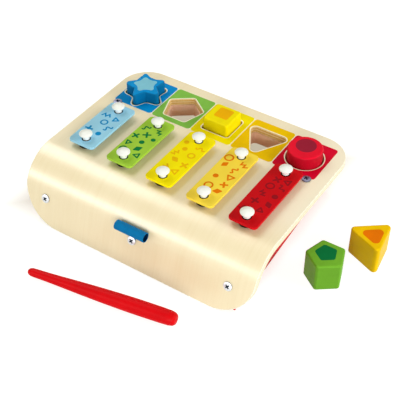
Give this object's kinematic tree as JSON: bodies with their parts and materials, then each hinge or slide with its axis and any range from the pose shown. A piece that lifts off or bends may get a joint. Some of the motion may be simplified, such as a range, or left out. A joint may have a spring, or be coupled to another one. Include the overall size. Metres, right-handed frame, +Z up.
{
  "type": "xylophone shape puzzle",
  "caption": "Wooden toy with tuned bars on a bent plywood cover, shaped holes with matching blocks behind them, and a tapered stick as mallet.",
  "frame": {"origin": "middle of the whole set's footprint, on the table that it stands on", "axes": "+Z up; the leaning flap faces -Y; the bars get longer towards +X"},
  "size_m": [0.3032, 0.2448, 0.0722],
  "materials": {
    "birch_ply": "clear satin varnish",
    "red_wood": "red satin stain",
    "blue_bar": "satin enamel",
    "green_bar": "satin enamel",
    "yellow_bar": "satin enamel",
    "amber_bar": "satin enamel",
    "red_bar": "satin enamel",
    "white_plastic": "gloss",
    "black_rubber": "matt",
    "zinc_steel": "bright zinc",
    "blue_band": "satin",
    "blue_paint": "satin paint",
    "green_paint": "satin paint",
    "yellow_paint": "satin paint",
    "amber_paint": "satin paint",
    "red_paint": "satin paint"
  },
  "bodies": {
    "bench": {"plywood_cover": "birch_ply", "hole_plate": "red_wood", "side_panel_left": "red_wood", "side_panel_right": "red_wood", "mallet_loop": "blue_band", "pin_blue_front": "white_plastic", "pin_blue_rear": "white_plastic", "pin_green_front": "white_plastic", "pin_green_rear": "white_plastic", "pin_yellow_front": "white_plastic", "pin_yellow_rear": "white_plastic", "pin_amber_front": "white_plastic", "pin_amber_rear": "white_plastic", "pin_red_front": "white_plastic", "pin_red_rear": "white_plastic", "sleeve_blue_front": "black_rubber", "sleeve_blue_rear": "black_rubber", "sleeve_green_front": "black_rubber", "sleeve_green_rear": "black_rubber", "sleeve_yellow_front": "black_rubber", "sleeve_yellow_rear": "black_rubber", "sleeve_amber_front": "black_rubber", "sleeve_amber_rear": "black_rubber", "sleeve_red_front": "black_rubber", "sleeve_red_rear": "black_rubber", "flap_screw_left": "zinc_steel", "flap_screw_right": "zinc_steel", "top_screw_left": "zinc_steel", "top_screw_right": "zinc_steel", "loop_screw": "zinc_steel"},
    "blue_bar": {"bar_blue": "blue_bar"},
    "green_bar": {"bar_green": "green_bar"},
    "yellow_bar": {"bar_yellow": "yellow_bar"},
    "amber_bar": {"bar_amber": "amber_bar"},
    "red_bar": {"bar_red": "red_bar"},
    "star": {"star_block": "blue_paint"},
    "square": {"square_block": "yellow_paint"},
    "round": {"circle_block": "red_paint"},
    "pentagon": {"pentagon_block": "green_paint"},
    "triangle": {"triangle_block": "amber_paint"},
    "stick": {"mallet": "red_paint"}
  },
  "joints": [
    {"name": "star_push", "type": "slide", "parent": "bench", "child": "star", "axis": [0, 0, 1], "range_m": [-0.031, 0.03]},
    {"name": "square_push", "type": "slide", "parent": "bench", "child": "square", "axis": [0, 0, 1], "range_m": [-0.042, 0.03]},
    {"name": "round_push", "type": "slide", "parent": "bench", "child": "round", "axis": [0, 0, 1], "range_m": [-0.031, 0.03]},
    {"name": "blue_bar_lift", "type": "slide", "parent": "bench", "child": "blue_bar", "axis": [0, 0, 1], "range_m": [0, 0.0044]},
    {"name": "green_bar_lift", "type": "slide", "parent": "bench", "child": "green_bar", "axis": [0, 0, 1], "range_m": [0, 0.0044]},
    {"name": "yellow_bar_lift", "type": "slide", "parent": "bench", "child": "yellow_bar", "axis": [0, 0, 1], "range_m": [0, 0.0044]},
    {"name": "amber_bar_lift", "type": "slide", "parent": "bench", "child": "amber_bar", "axis": [0, 0, 1], "range_m": [0, 0.0044]},
    {"name": "red_bar_lift", "type": "slide", "parent": "bench", "child": "red_bar", "axis": [0, 0, 1], "range_m": [0, 0.0044]},
    {"name": "pentagon_lift", "type": "slide", "parent": "bench", "child": "pentagon", "axis": [0, 0, 1], "range_m": [0, 0.05]},
    {"name": "triangle_lift", "type": "slide", "parent": "bench", "child": "triangle", "axis": [0, 0, 1], "range_m": [0, 0.05]},
    {"name": "stick_lift", "type": "slide", "parent": "bench", "child": "stick", "axis": [0, 0, 1], "range_m": [0, 0.05]}
  ]
}
